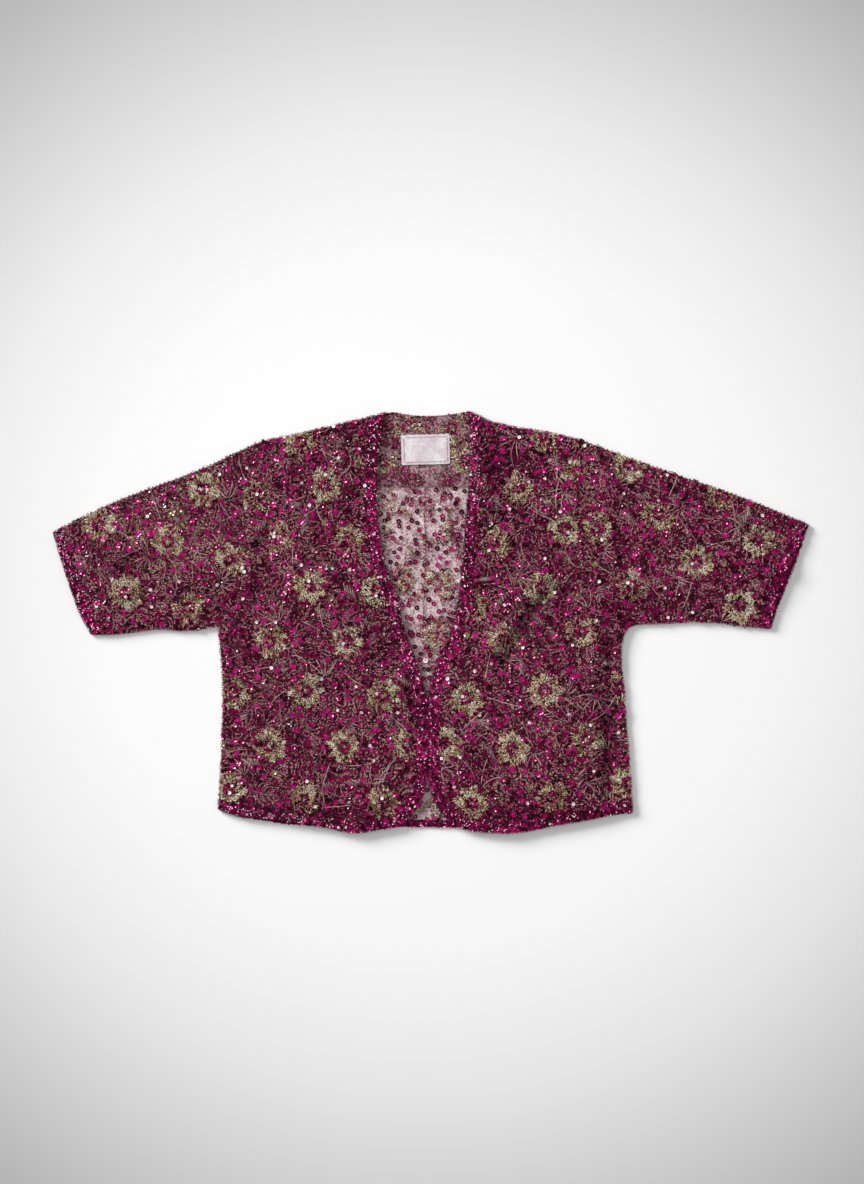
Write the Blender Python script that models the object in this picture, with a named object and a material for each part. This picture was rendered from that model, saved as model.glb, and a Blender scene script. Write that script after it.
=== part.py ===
# Beaded open-front evening jacket with elbow sleeves, laid flat on its back.
# Lengths below are millimetres. +X is the viewer's right, +Y is towards the neck, +Z is up from the table.
import math
from collections import namedtuple

import bmesh
import bpy
import numpy as np

MM = 0.001

# Cloth walls: net with its beads and sequins
BACK_WALL = 2.4
FRONT_WALL = 2.6
FACING_WALL = 1.6
LABEL_WALL = 1.0
BAND_EXTRA = 0.5
BAND_CROWN = 0.5

# Room between pieces, and how far the upper layer stands off the lower one
SEAM_GAP = 0.3
LOFT = 3.2
LOFT_REACH = 26.0
FOLD_REACH = 12.0

# Sequinned bands on the free edges
FRONT_BAND = 14.0
NECK_POINT_CLEARANCE = 21.0
HEM_BAND = 9.0
NECK_BAND = 10.0
CUFF_BAND = 13.0
UNDER_CUFF_REACH = {"left": 0.0, "right": 6.0}

# Centre-back seam, neck facing and label
CENTRE_BACK = -6.0
FACING_LEFT = -86.0
FACING_RIGHT = 66.0
FACING_LOW = 176.0
FACING_MARGIN = 22.0
LABEL_SIZE = (63.0, 39.0)
LABEL_CENTRE = (-7.2, 224.3)
LABEL_TURN = math.radians(1.6)
LABEL_CORNER = 2.0
CORNER_POINTS = 4

# Sections along and across the pieces
SIDE_ROWS = 17
ARM_ROWS = 16
FRONT_COLUMNS = 16
HEM_COLUMNS = 34
NECK_COLUMNS = 12
SLEEVE_STATIONS = 13
CUFF_STATIONS = 2
BAND_COLUMNS = 2
EDGE_TURNS = 4
LEANING_SECTIONS = 3
CURVE_STEPS = 24
EDGE_SECTIONS = 24
SHARP_EDGE = math.radians(50)
SAME_PLACE = 1e-4

# Outline of the laid jacket, sections of each edge by x and y
Point = namedtuple("Point", "x y")
SHOULDER = {
    "left": (Point(-58, 272), Point(-82, 266), Point(-114, 258.5), Point(-160, 247.5), Point(-220, 235)),
    "right": (
        Point(50, 274), Point(74, 262), Point(105, 254), Point(137, 249), Point(168, 243), Point(200, 235),
    ),
}
OVERARM = {
    "left": (
        Point(-220, 235), Point(-242, 226), Point(-285, 205), Point(-332, 186),
        Point(-379, 169), Point(-412, 156), Point(-456, 136), Point(-490, 117),
    ),
    "right": (
        Point(200, 235), Point(231, 223), Point(277, 207), Point(324, 190),
        Point(371, 174), Point(418, 157), Point(455, 142), Point(490, 127),
    ),
}
UNDERARM = {
    "left": (
        Point(-276, -4), Point(-300, -9), Point(-325, -11), Point(-352, -8.5),
        Point(-380, -12), Point(-412, -16), Point(-441, -15.5),
    ),
    "right": (
        Point(254, -9), Point(263, -3), Point(293, -2.5), Point(330, 0),
        Point(371, -0.5), Point(408, -5.5), Point(441, -8),
    ),
}
CUFF = {
    "left": (Point(-490, 117), Point(-487, 104), Point(-472, 57), Point(-456.5, 13), Point(-441, -15.5)),
    "right": (Point(490, 127), Point(472.5, 88), Point(458.5, 55.5), Point(448, 24), Point(441, -8)),
}
ARMHOLE = {
    "left": (
        Point(-276, -4), Point(-253, 5), Point(-233, 22), Point(-218, 47),
        Point(-211, 80), Point(-210.5, 132), Point(-211, 185), Point(-220, 235),
    ),
    "right": (
        Point(254, -9), Point(240, 3), Point(222, 24), Point(204, 56),
        Point(194, 100), Point(191, 145), Point(192.5, 195), Point(200, 235),
    ),
}
SIDE = {
    "left": (
        Point(-276, -244), Point(-275.5, -225), Point(-273, -180), Point(-270.5, -110),
        Point(-271.5, -65), Point(-274.5, -30), Point(-276, -4),
    ),
    "right": (
        Point(261, -247.6), Point(260, -215), Point(257.5, -180), Point(254, -135),
        Point(250.5, -85), Point(247, -52), Point(247, -28), Point(254, -9),
    ),
}
NECK_TO_CORNER = {
    "left": (
        Point(-58, 272), Point(-65, 250), Point(-71.5, 198), Point(-70.5, 143), Point(-66, 107),
        Point(-61, 72), Point(-47, 37), Point(-35, -9), Point(-21, -47), Point(-10, -82),
        Point(-5.4, -103), Point(-4.5, -125), Point(-4.5, -165), Point(-5.2, -202), Point(-8.5, -221),
        Point(-15, -236), Point(-24, -250.5),
    ),
    "right": (
        Point(50, 274), Point(51.5, 250), Point(51, 185), Point(47, 152), Point(43, 88),
        Point(35, 25), Point(23.5, -21), Point(8, -55), Point(-0.8, -80), Point(-2.9, -101),
        Point(-3.6, -123), Point(-3.6, -165), Point(-3.0, -199), Point(-0.4, -218),
        Point(5, -234), Point(14, -249),
    ),
}
CORNER_TO_SIDE = {
    "left": (
        Point(-24, -250.5), Point(-33, -260.5), Point(-46, -266.5), Point(-63, -268.5), Point(-92, -273.5),
        Point(-108, -273), Point(-130, -267.5), Point(-163, -263), Point(-205, -256), Point(-248, -252),
        Point(-276, -244),
    ),
    "right": (
        Point(14, -249), Point(24, -259.5), Point(37, -266.5), Point(56, -272), Point(94, -274.1),
        Point(128, -271), Point(160, -264), Point(200, -257.4), Point(238, -249.5), Point(261, -247.6),
    ),
}
BACK_HEM = (
    Point(-276, -244), Point(-250, -253), Point(-228, -256.5), Point(-205, -260), Point(-182, -263),
    Point(-150, -265), Point(-110, -268), Point(-70, -268), Point(-40, -266.5), Point(10, -266.5),
    Point(60, -268), Point(96, -270), Point(135, -268), Point(185, -259.5), Point(227, -251.5),
    Point(261, -247.6),
)
BACK_NECK = (
    Point(-58, 272), Point(-49, 273), Point(-30, 269.5), Point(-5, 267.8), Point(25, 270), Point(50, 274),
)

# Largest folds of the upper layer, each along a line from x1, y1 to x2, y2, ridges up and hollows down
Fold = namedtuple("Fold", "name x1 y1 x2 y2 width height")
FOLDS = (
    Fold("right shoulder hollow", 72, 222, 140, 196, 18, -3.4),
    Fold("right shoulder hollow tail", 140, 196, 214, 166, 15, -2.6),
    Fold("right shoulder ridge", 80, 176, 196, 132, 18, 3.0),
    Fold("left chest hollow", -128, 214, -92, 160, 16, -2.8),
    Fold("left shoulder ridge", -196, 205, -140, 120, 19, 2.4),
    Fold("left armhole hollow", -214, 168, -214, 62, 15, -2.8),
    Fold("right armhole hollow", 198, 122, 214, 64, 15, -2.6),
    Fold("left neckline hollow", -124, 88, -38, -54, 15, -2.8),
    Fold("left neckline ridge", -148, 62, -60, -86, 19, 3.2),
    Fold("right front ridge", 142, 64, 72, -28, 19, 4.2),
    Fold("right front hollow", 150, 26, 80, -84, 15, -3.0),
    Fold("left sleeve long ridge", -236, 158, -440, 70, 24, 3.0),
    Fold("left sleeve hollow", -372, 70, -300, 38, 15, -2.6),
    Fold("left cuff hollow", -462, 118, -449, 44, 14, -2.4),
    Fold("left underarm drag", -298, 32, -232, -26, 15, -2.8),
    Fold("left underarm ridge", -270, 62, -206, 4, 17, 2.6),
    Fold("right sleeve long ridge", 222, 150, 444, 80, 24, 3.4),
    Fold("right sleeve under hollow", 252, 30, 356, 16, 14, -2.8),
    Fold("right sleeve under crease", 276, 26, 430, 20, 14, -2.4),
    Fold("right sleeve low ridge", 262, 66, 400, 44, 17, 2.6),
    Fold("right cuff hollow", 458, 112, 472, 66, 14, -2.2),
    Fold("right side hollow", 230, -32, 228, -222, 14, -3.2),
    Fold("right side ridge", 206, -60, 204, -210, 17, 2.6),
    Fold("left side hollow", -258, -104, -262, -190, 14, -2.4),
    Fold("left front ridge", -172, 24, -178, -206, 26, 2.4),
    Fold("left low hollow", -146, -166, -128, -230, 14, -2.2),
    Fold("left hem hollow", -266, -230, -184, -238, 14, -2.0),
    Fold("right front low ridge", 168, -60, 160, -226, 24, 3.0),
    Fold("right front low hollow", 108, -108, 136, -166, 15, -2.4),
    Fold("right hem ridge", 92, -222, 98, -272, 18, 2.6),
    Fold("left hem ridge", -92, -220, -100, -270, 18, 2.4),
)

# Colour in linear light, roughness and metallic share of each cloth
Finish = namedtuple("Finish", "colour roughness metallic")
FINISHES = {
    "beaded_cloth": Finish((0.130, 0.030, 0.060), 0.45, 0.1),
    "sequin_band": Finish((0.220, 0.010, 0.080), 0.30, 0.3),
    "beaded_net": Finish((0.400, 0.300, 0.330), 0.55, 0.0),
    "facing_net": Finish((0.210, 0.120, 0.115), 0.60, 0.0),
    "woven_label": Finish((0.760, 0.680, 0.690), 0.80, 0.0),
}


def clear_scene():
    for item in list(bpy.data.objects):
        bpy.data.objects.remove(item, do_unlink=True)


def cloth_material(name):
    finish = FINISHES[name]
    material = bpy.data.materials.new(name)
    material.use_nodes = True
    shader = material.node_tree.nodes["Principled BSDF"]
    shader.inputs["Base Color"].default_value = (*finish.colour, 1.0)
    shader.inputs["Roughness"].default_value = finish.roughness
    shader.inputs["Metallic"].default_value = finish.metallic
    return material


def add_piece(name, data, finish, collection):
    piece = bpy.data.objects.new(name, data)
    data.materials.append(cloth_material(finish))
    collection.objects.link(piece)
    return piece


def smooth_line(stations, sections):
    """Evenly spaced points on a smooth line through the stations, one more than the sections."""
    knots = np.array(stations, float)
    knots = np.vstack([2 * knots[0] - knots[1], knots, 2 * knots[-1] - knots[-2]])
    steps = np.linspace(0, 1, CURVE_STEPS, endpoint=False)[:, None]
    runs = []
    for before, start, end, after in zip(knots, knots[1:], knots[2:], knots[3:]):
        leave = (end - before) / 2
        arrive = (after - start) / 2
        square = 3 * (end - start) - 2 * leave - arrive
        cube = leave + arrive - 2 * (end - start)
        runs.append(start + steps * (leave + steps * (square + steps * cube)))
    dense = np.vstack(runs + [knots[-2:-1]])
    length = np.concatenate([[0], np.cumsum(np.linalg.norm(np.diff(dense, axis=0), axis=1))])
    wanted = np.linspace(0, length[-1], sections + 1)
    return np.column_stack([np.interp(wanted, length, dense[:, axis]) for axis in (0, 1)])


def unit(vectors):
    return vectors / np.linalg.norm(vectors, axis=-1, keepdims=True)


def left_of(line):
    """Direction to the left of a line, at each of its points."""
    along = unit(np.gradient(line, axis=0))
    return np.column_stack([-along[:, 1], along[:, 0]])


def leaning(directions, first, last):
    """Directions that swing to a first and a last one at the ends, and keep their depth there."""
    count = len(directions)
    steps = np.arange(count)
    swung = directions.copy()
    for step, target in ((steps, first), (count - 1 - steps, last)):
        lean = np.clip(1 - step / LEANING_SECTIONS, 0, 1)[:, None]
        swung = (1 - lean) * swung + lean * unit(np.array(target, float))
    return swung / (swung * directions).sum(1)[:, None]


def moved_ends(line, first, last):
    """The line with its ends moved to two points and the rest following in proportion."""
    return line + np.linspace(first - line[0], last - line[-1], len(line))


def patch(low, high, first, last):
    """Rows of points that fill four edges. Low and high run along, first and last run up."""
    along = np.linspace(0, 1, len(low))[None, :, None]
    up = np.linspace(0, 1, len(first))[:, None, None]
    ruled = (1 - up) * low[None] + up * high[None] + (1 - along) * first[:, None] + along * last[:, None]
    low_corners = (1 - along) * low[0] + along * low[-1]
    high_corners = (1 - along) * high[0] + along * high[-1]
    return ruled - (1 - up) * low_corners - up * high_corners


def distance_to(point, line):
    """Shortest distance in plan from a point to a line of points."""
    starts = line[:-1]
    runs = line[1:] - starts
    offsets = point - starts
    shares = np.clip((offsets * runs).sum(1) / (runs * runs).sum(1), 0, 1)
    return np.linalg.norm(offsets - shares[:, None] * runs, axis=1).min()


def closed_edges():
    """Edges where the front turns into the back: shoulders, both edges of the sleeves, and sides."""
    tables = (SHOULDER, OVERARM, UNDERARM, SIDE)
    return [smooth_line(table[side], EDGE_SECTIONS) for table in tables for side in ("left", "right")]


CLOSED_EDGES = closed_edges()


def facing_rise(x, y):
    """How far the neck facing lifts the upper layer that lies on it."""
    beyond_x = max(FACING_LEFT - FACING_MARGIN - x, x - FACING_RIGHT - FACING_MARGIN, 0)
    beyond_y = max(FACING_LOW - FACING_MARGIN - y, 0)
    fade = min(math.hypot(beyond_x, beyond_y) / FACING_MARGIN, 1)
    return (FACING_WALL + SEAM_GAP) * (1 + math.cos(math.pi * fade)) / 2


def fold_height(point):
    height = 0
    for fold in FOLDS:
        spine = np.array([[fold.x1, fold.y1], [fold.x2, fold.y2]], float)
        height += fold.height * math.exp(-((distance_to(point, spine) / fold.width) ** 2))
    return height


def upper_underside(x, y):
    """Height of the upper layer's underside, which lies on the lower layer and lofts and folds above it."""
    point = np.array([x, y])
    edge = min(distance_to(point, line) for line in CLOSED_EDGES)
    loft = LOFT * (1 - math.exp(-((edge / LOFT_REACH) ** 2)))
    folds = fold_height(point) * (1 - math.exp(-((edge / FOLD_REACH) ** 2)))
    return BACK_WALL + SEAM_GAP + facing_rise(x, y) + max(loft + folds, 0)


def unit_grid(columns, rows):
    """Flat grid one unit square, on which a point's place gives its column and row."""
    bm = bmesh.new()
    bmesh.ops.create_grid(bm, x_segments=columns, y_segments=rows, size=0.5)
    return bm


def column_and_row(vert, columns, rows):
    return round((vert.co.x + 0.5) * columns), round((vert.co.y + 0.5) * rows)


def finished_mesh(bm, name):
    bmesh.ops.recalc_face_normals(bm, faces=bm.faces[:])
    mesh = bpy.data.meshes.new(name)
    bm.to_mesh(mesh)
    bm.free()
    mesh.shade_smooth()
    mesh.set_sharp_from_angle(angle=SHARP_EDGE)
    return mesh


def upper_sheet(name, plan, wall, crown, finish, collection):
    """Upper-layer piece over rows of plan points, one wall thick, with its middle rows crowned."""
    rows, columns = plan.shape[0] - 1, plan.shape[1] - 1
    bm = unit_grid(columns, rows)
    raised = bmesh.ops.extrude_face_region(bm, geom=bm.faces[:])["geom"]
    outer = {item for item in raised if isinstance(item, bmesh.types.BMVert)}
    for vert in bm.verts:
        column, row = column_and_row(vert, columns, rows)
        x, y = plan[row, column]
        z = upper_underside(x, y)
        if vert in outer:
            z += wall + crown * math.sin(math.pi * row / rows)
        vert.co = (x * MM, y * MM, z * MM)
    return add_piece(name, finished_mesh(bm, name), finish, collection)


def flat_piece(name, outline, base, wall, finish, collection):
    """Piece that lies flat: its outline, filled, one wall thick."""
    curve = bpy.data.curves.new(name, "CURVE")
    curve.dimensions = "2D"
    curve.fill_mode = "BOTH"
    curve.extrude = wall * MM / 2
    spline = curve.splines.new("POLY")
    spline.points.add(len(outline) - 1)
    for point, (x, y) in zip(spline.points, outline):
        point.co = (x * MM, y * MM, 0, 1)
    spline.use_cyclic_u = True
    piece = add_piece(name, curve, finish, collection)
    piece.location.z = (base + wall / 2) * MM
    return piece


def sleeve_ring(line, reach, outer):
    """Section of a flattened sleeve whose upper layer follows a line from the top fold to the underarm.

    It runs along the upper layer, round the underarm, back along the lower layer and round the top.
    Between its two folds the lower layer bows out along the arm by the reach."""
    depth = (BACK_WALL + SEAM_GAP + FRONT_WALL) / 2
    radius = depth if outer else SEAM_GAP / 2
    middle = depth if outer else BACK_WALL + SEAM_GAP / 2
    top_out = unit(line[0] - line[1])
    low_out = unit(line[-1] - line[-2])
    inset = line.copy()
    inset[0] -= top_out * depth
    inset[-1] -= low_out * depth
    turns = [math.pi * turn / EDGE_TURNS for turn in range(1, EDGE_TURNS)]
    bow = np.sin(np.linspace(0, math.pi, len(line)))[:, None]
    ring = [(x, y, upper_underside(x, y) + (FRONT_WALL if outer else 0)) for x, y in inset]
    for turn in turns:
        x, y = inset[-1] + low_out * radius * math.sin(turn)
        ring.append((x, y, middle + radius * math.cos(turn)))
    ring += [(x, y, middle - radius) for x, y in inset[::-1] + bow * reach]
    for turn in turns:
        x, y = inset[0] + top_out * radius * math.sin(turn)
        ring.append((x, y, middle - radius * math.cos(turn)))
    return ring


def sleeve_tube(name, plan, reaches, finish, collection):
    """Flattened tube of cloth: its wall runs outside to one end and back inside."""
    sections = list(zip(plan.transpose(1, 0, 2), reaches))
    rings = [sleeve_ring(line, reach, True) for line, reach in sections]
    rings += [sleeve_ring(line, reach, False) for line, reach in reversed(sections)]
    around, along = len(rings[0]), len(rings)
    bm = unit_grid(around, along)
    for vert in bm.verts:
        column, row = column_and_row(vert, around, along)
        vert.co = [length * MM for length in rings[row % along][column % around]]
    bmesh.ops.remove_doubles(bm, verts=bm.verts[:], dist=SAME_PLACE * MM)
    return add_piece(name, finished_mesh(bm, name), finish, collection)


def make_front(side, collection):
    """One front and the sequinned band along its neck edge, centre edge, rounded corner and hem."""
    inward = -1 if side == "left" else 1
    down = smooth_line(NECK_TO_CORNER[side], SIDE_ROWS + ARM_ROWS)
    across = smooth_line(CORNER_TO_SIDE[side], FRONT_COLUMNS)
    edge = np.vstack([down, across[1:]])
    shoulder_run = np.subtract(SHOULDER[side][1], SHOULDER[side][0])
    side_run = np.subtract(SIDE[side][1], SIDE[side][0])
    depths = leaning(inward * left_of(edge), shoulder_run, side_run)
    offsets = np.linspace(0, FRONT_BAND - SEAM_GAP, BAND_COLUMNS + 1)
    band = np.array([edge + offset * depths for offset in offsets])
    upper_sheet(f"front_band_{side}", band, FRONT_WALL + BAND_EXTRA, BAND_CROWN, "sequin_band", collection)

    inset = edge + FRONT_BAND * depths
    corner = len(down) - 1
    hem = inset[corner:][::-1]
    free = inset[: corner + 1][::-1]
    side_seam = [hem[0]] + [point for point in SIDE[side] if point.y > hem[0][1] + FRONT_BAND]
    neck = SHOULDER[side][0]
    seam = [point for point in SHOULDER[side] if abs(point.x - neck.x) > NECK_POINT_CLEARANCE]
    shoulder = [free[-1]] + seam
    armhole = smooth_line(ARMHOLE[side], ARM_ROWS)
    armhole = armhole + inward * SEAM_GAP / 2 * left_of(armhole)
    outer = np.vstack([smooth_line(side_seam, SIDE_ROWS)[:-1], armhole])
    shoulder = moved_ends(smooth_line(shoulder[::-1], FRONT_COLUMNS), outer[-1], free[-1])
    plan = patch(hem, shoulder, outer, free)
    upper_sheet(f"front_{side}", plan, FRONT_WALL, 0, "beaded_cloth", collection)


def make_sleeve(side, collection):
    """One sleeve, folded along the top of the arm, and the band round its end."""
    outward = 1 if side == "left" else -1
    armhole = smooth_line(ARMHOLE[side], ARM_ROWS)
    armhole = (armhole + outward * SEAM_GAP / 2 * left_of(armhole))[::-1]
    cuff = smooth_line(CUFF[side], ARM_ROWS)
    over_run = unit(np.subtract(OVERARM[side][-2], OVERARM[side][-1]))
    under_run = unit(np.subtract(UNDERARM[side][-2], UNDERARM[side][-1]))
    inward = np.linspace(over_run, under_run, ARM_ROWS + 1)
    inward /= np.abs((inward * left_of(cuff)).sum(1))[:, None]
    inner_cuff = cuff + CUFF_BAND * inward

    over = smooth_line((*OVERARM[side][:-1], inner_cuff[0]), SLEEVE_STATIONS)
    under = smooth_line((*UNDERARM[side][:-1], inner_cuff[-1]), SLEEVE_STATIONS)
    over = moved_ends(over, armhole[0], inner_cuff[0])
    under = moved_ends(under, armhole[-1], inner_cuff[-1])
    plan = patch(over, under, armhole, inner_cuff)
    level = np.zeros((SLEEVE_STATIONS + 1, 2))
    sleeve_tube(f"sleeve_{side}", plan, level, "beaded_cloth", collection)

    widths = np.linspace(CUFF_BAND - SEAM_GAP, 0, CUFF_STATIONS + 1)
    plan = np.array([cuff + width * inward for width in widths]).transpose(1, 0, 2)
    reach = -UNDER_CUFF_REACH[side] * unit(over_run + under_run)
    reaches = np.linspace(0 * reach, reach, CUFF_STATIONS + 1)
    sleeve_tube(f"cuff_band_{side}", plan, reaches, "sequin_band", collection)


def make_back(collection):
    """Two back halves, their hem band, and the facing, band and label of the back neck."""
    hem = smooth_line(BACK_HEM, HEM_COLUMNS)
    left_run, right_run = (np.subtract(SIDE[side][1], SIDE[side][0]) for side in ("left", "right"))
    upward = leaning(left_of(hem), left_run, right_run)
    hem_band = np.vstack([hem, (hem + (HEM_BAND - SEAM_GAP) * upward)[::-1]])
    flat_piece("back_hem_band", hem_band, 0, BACK_WALL, "sequin_band", collection)
    hem = hem + HEM_BAND * upward

    neck = smooth_line(BACK_NECK, NECK_COLUMNS)
    neck_band_low = np.column_stack([neck[:, 0], neck[:, 1] - NECK_BAND + SEAM_GAP])
    neck_band = np.vstack([neck, neck_band_low[::-1]])
    neck_band[:, 0] = np.clip(neck_band[:, 0], neck[0, 0] + SEAM_GAP, neck[-1, 0] - SEAM_GAP)
    neck_wall = BACK_WALL + SEAM_GAP + FACING_WALL
    flat_piece("back_neck_band", neck_band, 0, neck_wall, "beaded_cloth", collection)
    neck = neck - (0, NECK_BAND)

    for side, turn in (("left", 1), ("right", -1)):
        seam_x = CENTRE_BACK - turn * SEAM_GAP / 2
        half_hem = hem[(hem[:, 0] - seam_x) * turn < 0][::turn]
        half_neck = neck[(neck[:, 0] - seam_x) * turn < 0][::turn]
        seam_low = (seam_x, np.interp(seam_x, hem[:, 0], hem[:, 1]))
        seam_high = (seam_x, np.interp(seam_x, neck[:, 0], neck[:, 1]))
        side_seam = [half_hem[0]] + [point for point in SIDE[side] if point.y > half_hem[0][1] + HEM_BAND]
        armhole = smooth_line(ARMHOLE[side], ARM_ROWS)
        armhole = armhole - turn * SEAM_GAP / 2 * left_of(armhole)
        outline = np.vstack([
            seam_low, half_hem[::-1], smooth_line(side_seam, SIDE_ROWS)[1:-1], armhole,
            smooth_line(SHOULDER[side][::-1], FRONT_COLUMNS)[1:], half_neck, seam_high,
        ])
        flat_piece(f"back_{side}", outline, 0, BACK_WALL, "beaded_net", collection)

    facing = np.vstack([
        (FACING_LEFT, FACING_LOW), (FACING_RIGHT, FACING_LOW), (FACING_RIGHT, neck[-1, 1]),
        neck[::-1], (FACING_LEFT, neck[0, 1]),
    ])
    base = BACK_WALL + SEAM_GAP
    flat_piece("back_neck_facing", facing, base, FACING_WALL, "facing_net", collection)
    make_label(base + FACING_WALL + SEAM_GAP, collection)


def make_label(base, collection):
    """Woven rectangle with slightly rounded corners, sewn on a little askew."""
    half_width, half_height = (size / 2 - LABEL_CORNER for size in LABEL_SIZE)
    outline = []
    for quarter, (across, up) in enumerate(((1, 1), (-1, 1), (-1, -1), (1, -1))):
        for step in range(CORNER_POINTS):
            angle = math.pi / 2 * (quarter + step / (CORNER_POINTS - 1))
            x = across * half_width + LABEL_CORNER * math.cos(angle)
            y = up * half_height + LABEL_CORNER * math.sin(angle)
            outline.append((
                LABEL_CENTRE[0] + x * math.cos(LABEL_TURN) - y * math.sin(LABEL_TURN),
                LABEL_CENTRE[1] + x * math.sin(LABEL_TURN) + y * math.cos(LABEL_TURN),
            ))
    flat_piece("label", outline, base, LABEL_WALL, "woven_label", collection)


def main():
    clear_scene()
    jacket = bpy.data.collections.new("beaded_jacket")
    bpy.context.scene.collection.children.link(jacket)
    make_back(jacket)
    for side in ("left", "right"):
        make_front(side, jacket)
        make_sleeve(side, jacket)


main()
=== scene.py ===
# A beaded evening jacket with elbow sleeves, laid on its back on a pale table with its fronts just apart.
# Lengths are millimetres until they reach a mesh. +X is the viewer's right, +Y the neck, +Z up.
import math
from collections import namedtuple

import bmesh
import bpy
import numpy as np
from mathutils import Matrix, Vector, noise
from mathutils.bvhtree import BVHTree


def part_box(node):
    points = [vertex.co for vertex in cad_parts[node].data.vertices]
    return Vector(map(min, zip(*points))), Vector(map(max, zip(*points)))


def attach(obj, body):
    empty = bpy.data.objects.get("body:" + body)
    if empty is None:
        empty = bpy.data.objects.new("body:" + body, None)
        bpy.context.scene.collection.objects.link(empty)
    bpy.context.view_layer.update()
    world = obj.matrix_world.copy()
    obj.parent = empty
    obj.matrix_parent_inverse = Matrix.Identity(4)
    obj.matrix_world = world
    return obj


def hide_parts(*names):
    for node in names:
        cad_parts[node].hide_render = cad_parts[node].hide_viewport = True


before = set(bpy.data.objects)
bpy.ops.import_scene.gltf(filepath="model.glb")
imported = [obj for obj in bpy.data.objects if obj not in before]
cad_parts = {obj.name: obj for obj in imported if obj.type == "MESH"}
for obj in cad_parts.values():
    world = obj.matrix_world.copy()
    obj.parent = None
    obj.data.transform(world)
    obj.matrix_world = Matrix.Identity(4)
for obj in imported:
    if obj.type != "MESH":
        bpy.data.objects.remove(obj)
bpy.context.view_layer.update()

MM = 0.001


# Back: two halves of sheer nylon tulle, embroidered before they were cut and joined by a seam down the
# middle. They lie flat on the table and show only where the fronts stand open. The tulle is matt and pale,
# so that each bead stands out on it. Its real mesh is about 1 mm, drawn coarser here so that it shows.
TULLE_MESH = 2.4
TULLE_RELIEF = 0.4
BACK_CELL = 9.0
MOTTLE_STOPS = (0.42, 0.58)
MOTTLE_ROUGHNESS = 0.6
DRIFT_SWING = 0.6
CREASE_EASE = 1.6
LEAST_RISE = 1.0

# Distances in metres within which a mesh's corners are joined and cut, and angles in degrees up to which
# its faces count as level and from which its edges stay sharp.
WELD_DISTANCE = 1e-6
CUT_DISTANCE = 1e-7
FLAT_ANGLE = 0.1
SHARP_ANGLE = 50
Crease = namedtuple("Crease", "x1 y1 x2 y2 width height")
NET_CREASES = (
    Crease(-8, 170, -6, 96, 5, 1.3), Crease(-6, 96, -11, 40, 4, 1.0), Crease(-48, 168, -30, 60, 8, 1.1),
    Crease(26, 160, 14, 70, 7, 1.2), Crease(-60, 150, -52, 92, 6, 0.8), Crease(38, 120, 6, 10, 7, 0.9),
    Crease(-34, 40, -12, -30, 6, 0.8), Crease(4, 60, 2, -40, 6, 0.7), Crease(-22, 176, -20, 130, 5, 0.8),
)


def linear(colour):
    """Linear light of an sRGB hex colour, with full alpha."""
    channels = [int(colour[place:place + 2], 16) / 255 for place in (1, 3, 5)]
    return [c / 12.92 if c <= 0.04045 else ((c + 0.055) / 1.055) ** 2.4 for c in channels] + [1.0]


def add_node(tree, kind, inputs, **settings):
    """A node with its properties set and each input given a value or another node's output."""
    node = tree.nodes.new(kind)
    for name, value in settings.items():
        setattr(node, name, value)
    for name, value in inputs.items():
        if isinstance(value, bpy.types.NodeSocket):
            tree.links.new(value, node.inputs[name])
        else:
            node.inputs[name].default_value = value
    return node


def mottled(name, low, high, speck, finish, relief=0.0, drift=8.0):
    """Material that wanders between two tones in specks of a size in mm, and slowly over drift specks."""
    material = bpy.data.materials.new(name)
    material.use_nodes = True
    tree = material.node_tree
    shader = tree.nodes["Principled BSDF"]
    place = add_node(tree, "ShaderNodeTexCoord", {}).outputs["Object"]
    fine = {"Vector": place, "Scale": 1 / (speck * MM), "Roughness": MOTTLE_ROUGHNESS}
    near = add_node(tree, "ShaderNodeTexNoise", fine)
    far = add_node(tree, "ShaderNodeTexNoise", {"Vector": place, "Scale": 1 / (speck * drift * MM)})
    eased = {0: far.outputs["Fac"], 1: DRIFT_SWING, 2: (1 - DRIFT_SWING) / 2}
    slow = add_node(tree, "ShaderNodeMath", eased, operation="MULTIPLY_ADD")
    mixed = add_node(tree, "ShaderNodeMath", {0: near.outputs["Fac"], 1: slow.outputs[0]}, operation="ADD")
    halved = add_node(tree, "ShaderNodeMath", {0: mixed.outputs[0], 1: 0.5}, operation="MULTIPLY")
    tones = add_node(tree, "ShaderNodeValToRGB", {"Fac": halved.outputs[0]})
    for stop, position, colour in zip(tones.color_ramp.elements, MOTTLE_STOPS, (low, high)):
        stop.position = position
        stop.color = linear(colour)
    tree.links.new(tones.outputs["Color"], shader.inputs["Base Color"])
    for socket, value in finish.items():
        shader.inputs[socket].default_value = value
    if relief:
        bump = add_node(tree, "ShaderNodeBump", {"Height": near.outputs["Fac"], "Distance": relief * MM})
        tree.links.new(bump.outputs["Normal"], shader.inputs["Normal"])
    return material


def welded(node):
    """A copy of a CAD piece's form with its split corners joined."""
    form = bmesh.new()
    form.from_mesh(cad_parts[node].data)
    bmesh.ops.remove_doubles(form, verts=form.verts[:], dist=WELD_DISTANCE)
    return form


def flat_form(node, cell):
    """The form of a flat CAD piece, cut into square cells so that it can crease."""
    form = welded(node)
    level = math.radians(FLAT_ANGLE)
    bmesh.ops.dissolve_limit(form, angle_limit=level, verts=form.verts[:], edges=form.edges[:])
    low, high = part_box(node)
    for axis in (0, 1):
        across = Vector((axis == 0, axis == 1, 0))
        for place in np.arange(low[axis] + cell * MM, high[axis], cell * MM):
            parts = form.verts[:] + form.edges[:] + form.faces[:]
            bmesh.ops.bisect_plane(
                form, geom=parts, plane_co=across * place, plane_no=across, dist=CUT_DISTANCE,
            )
    return form


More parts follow.
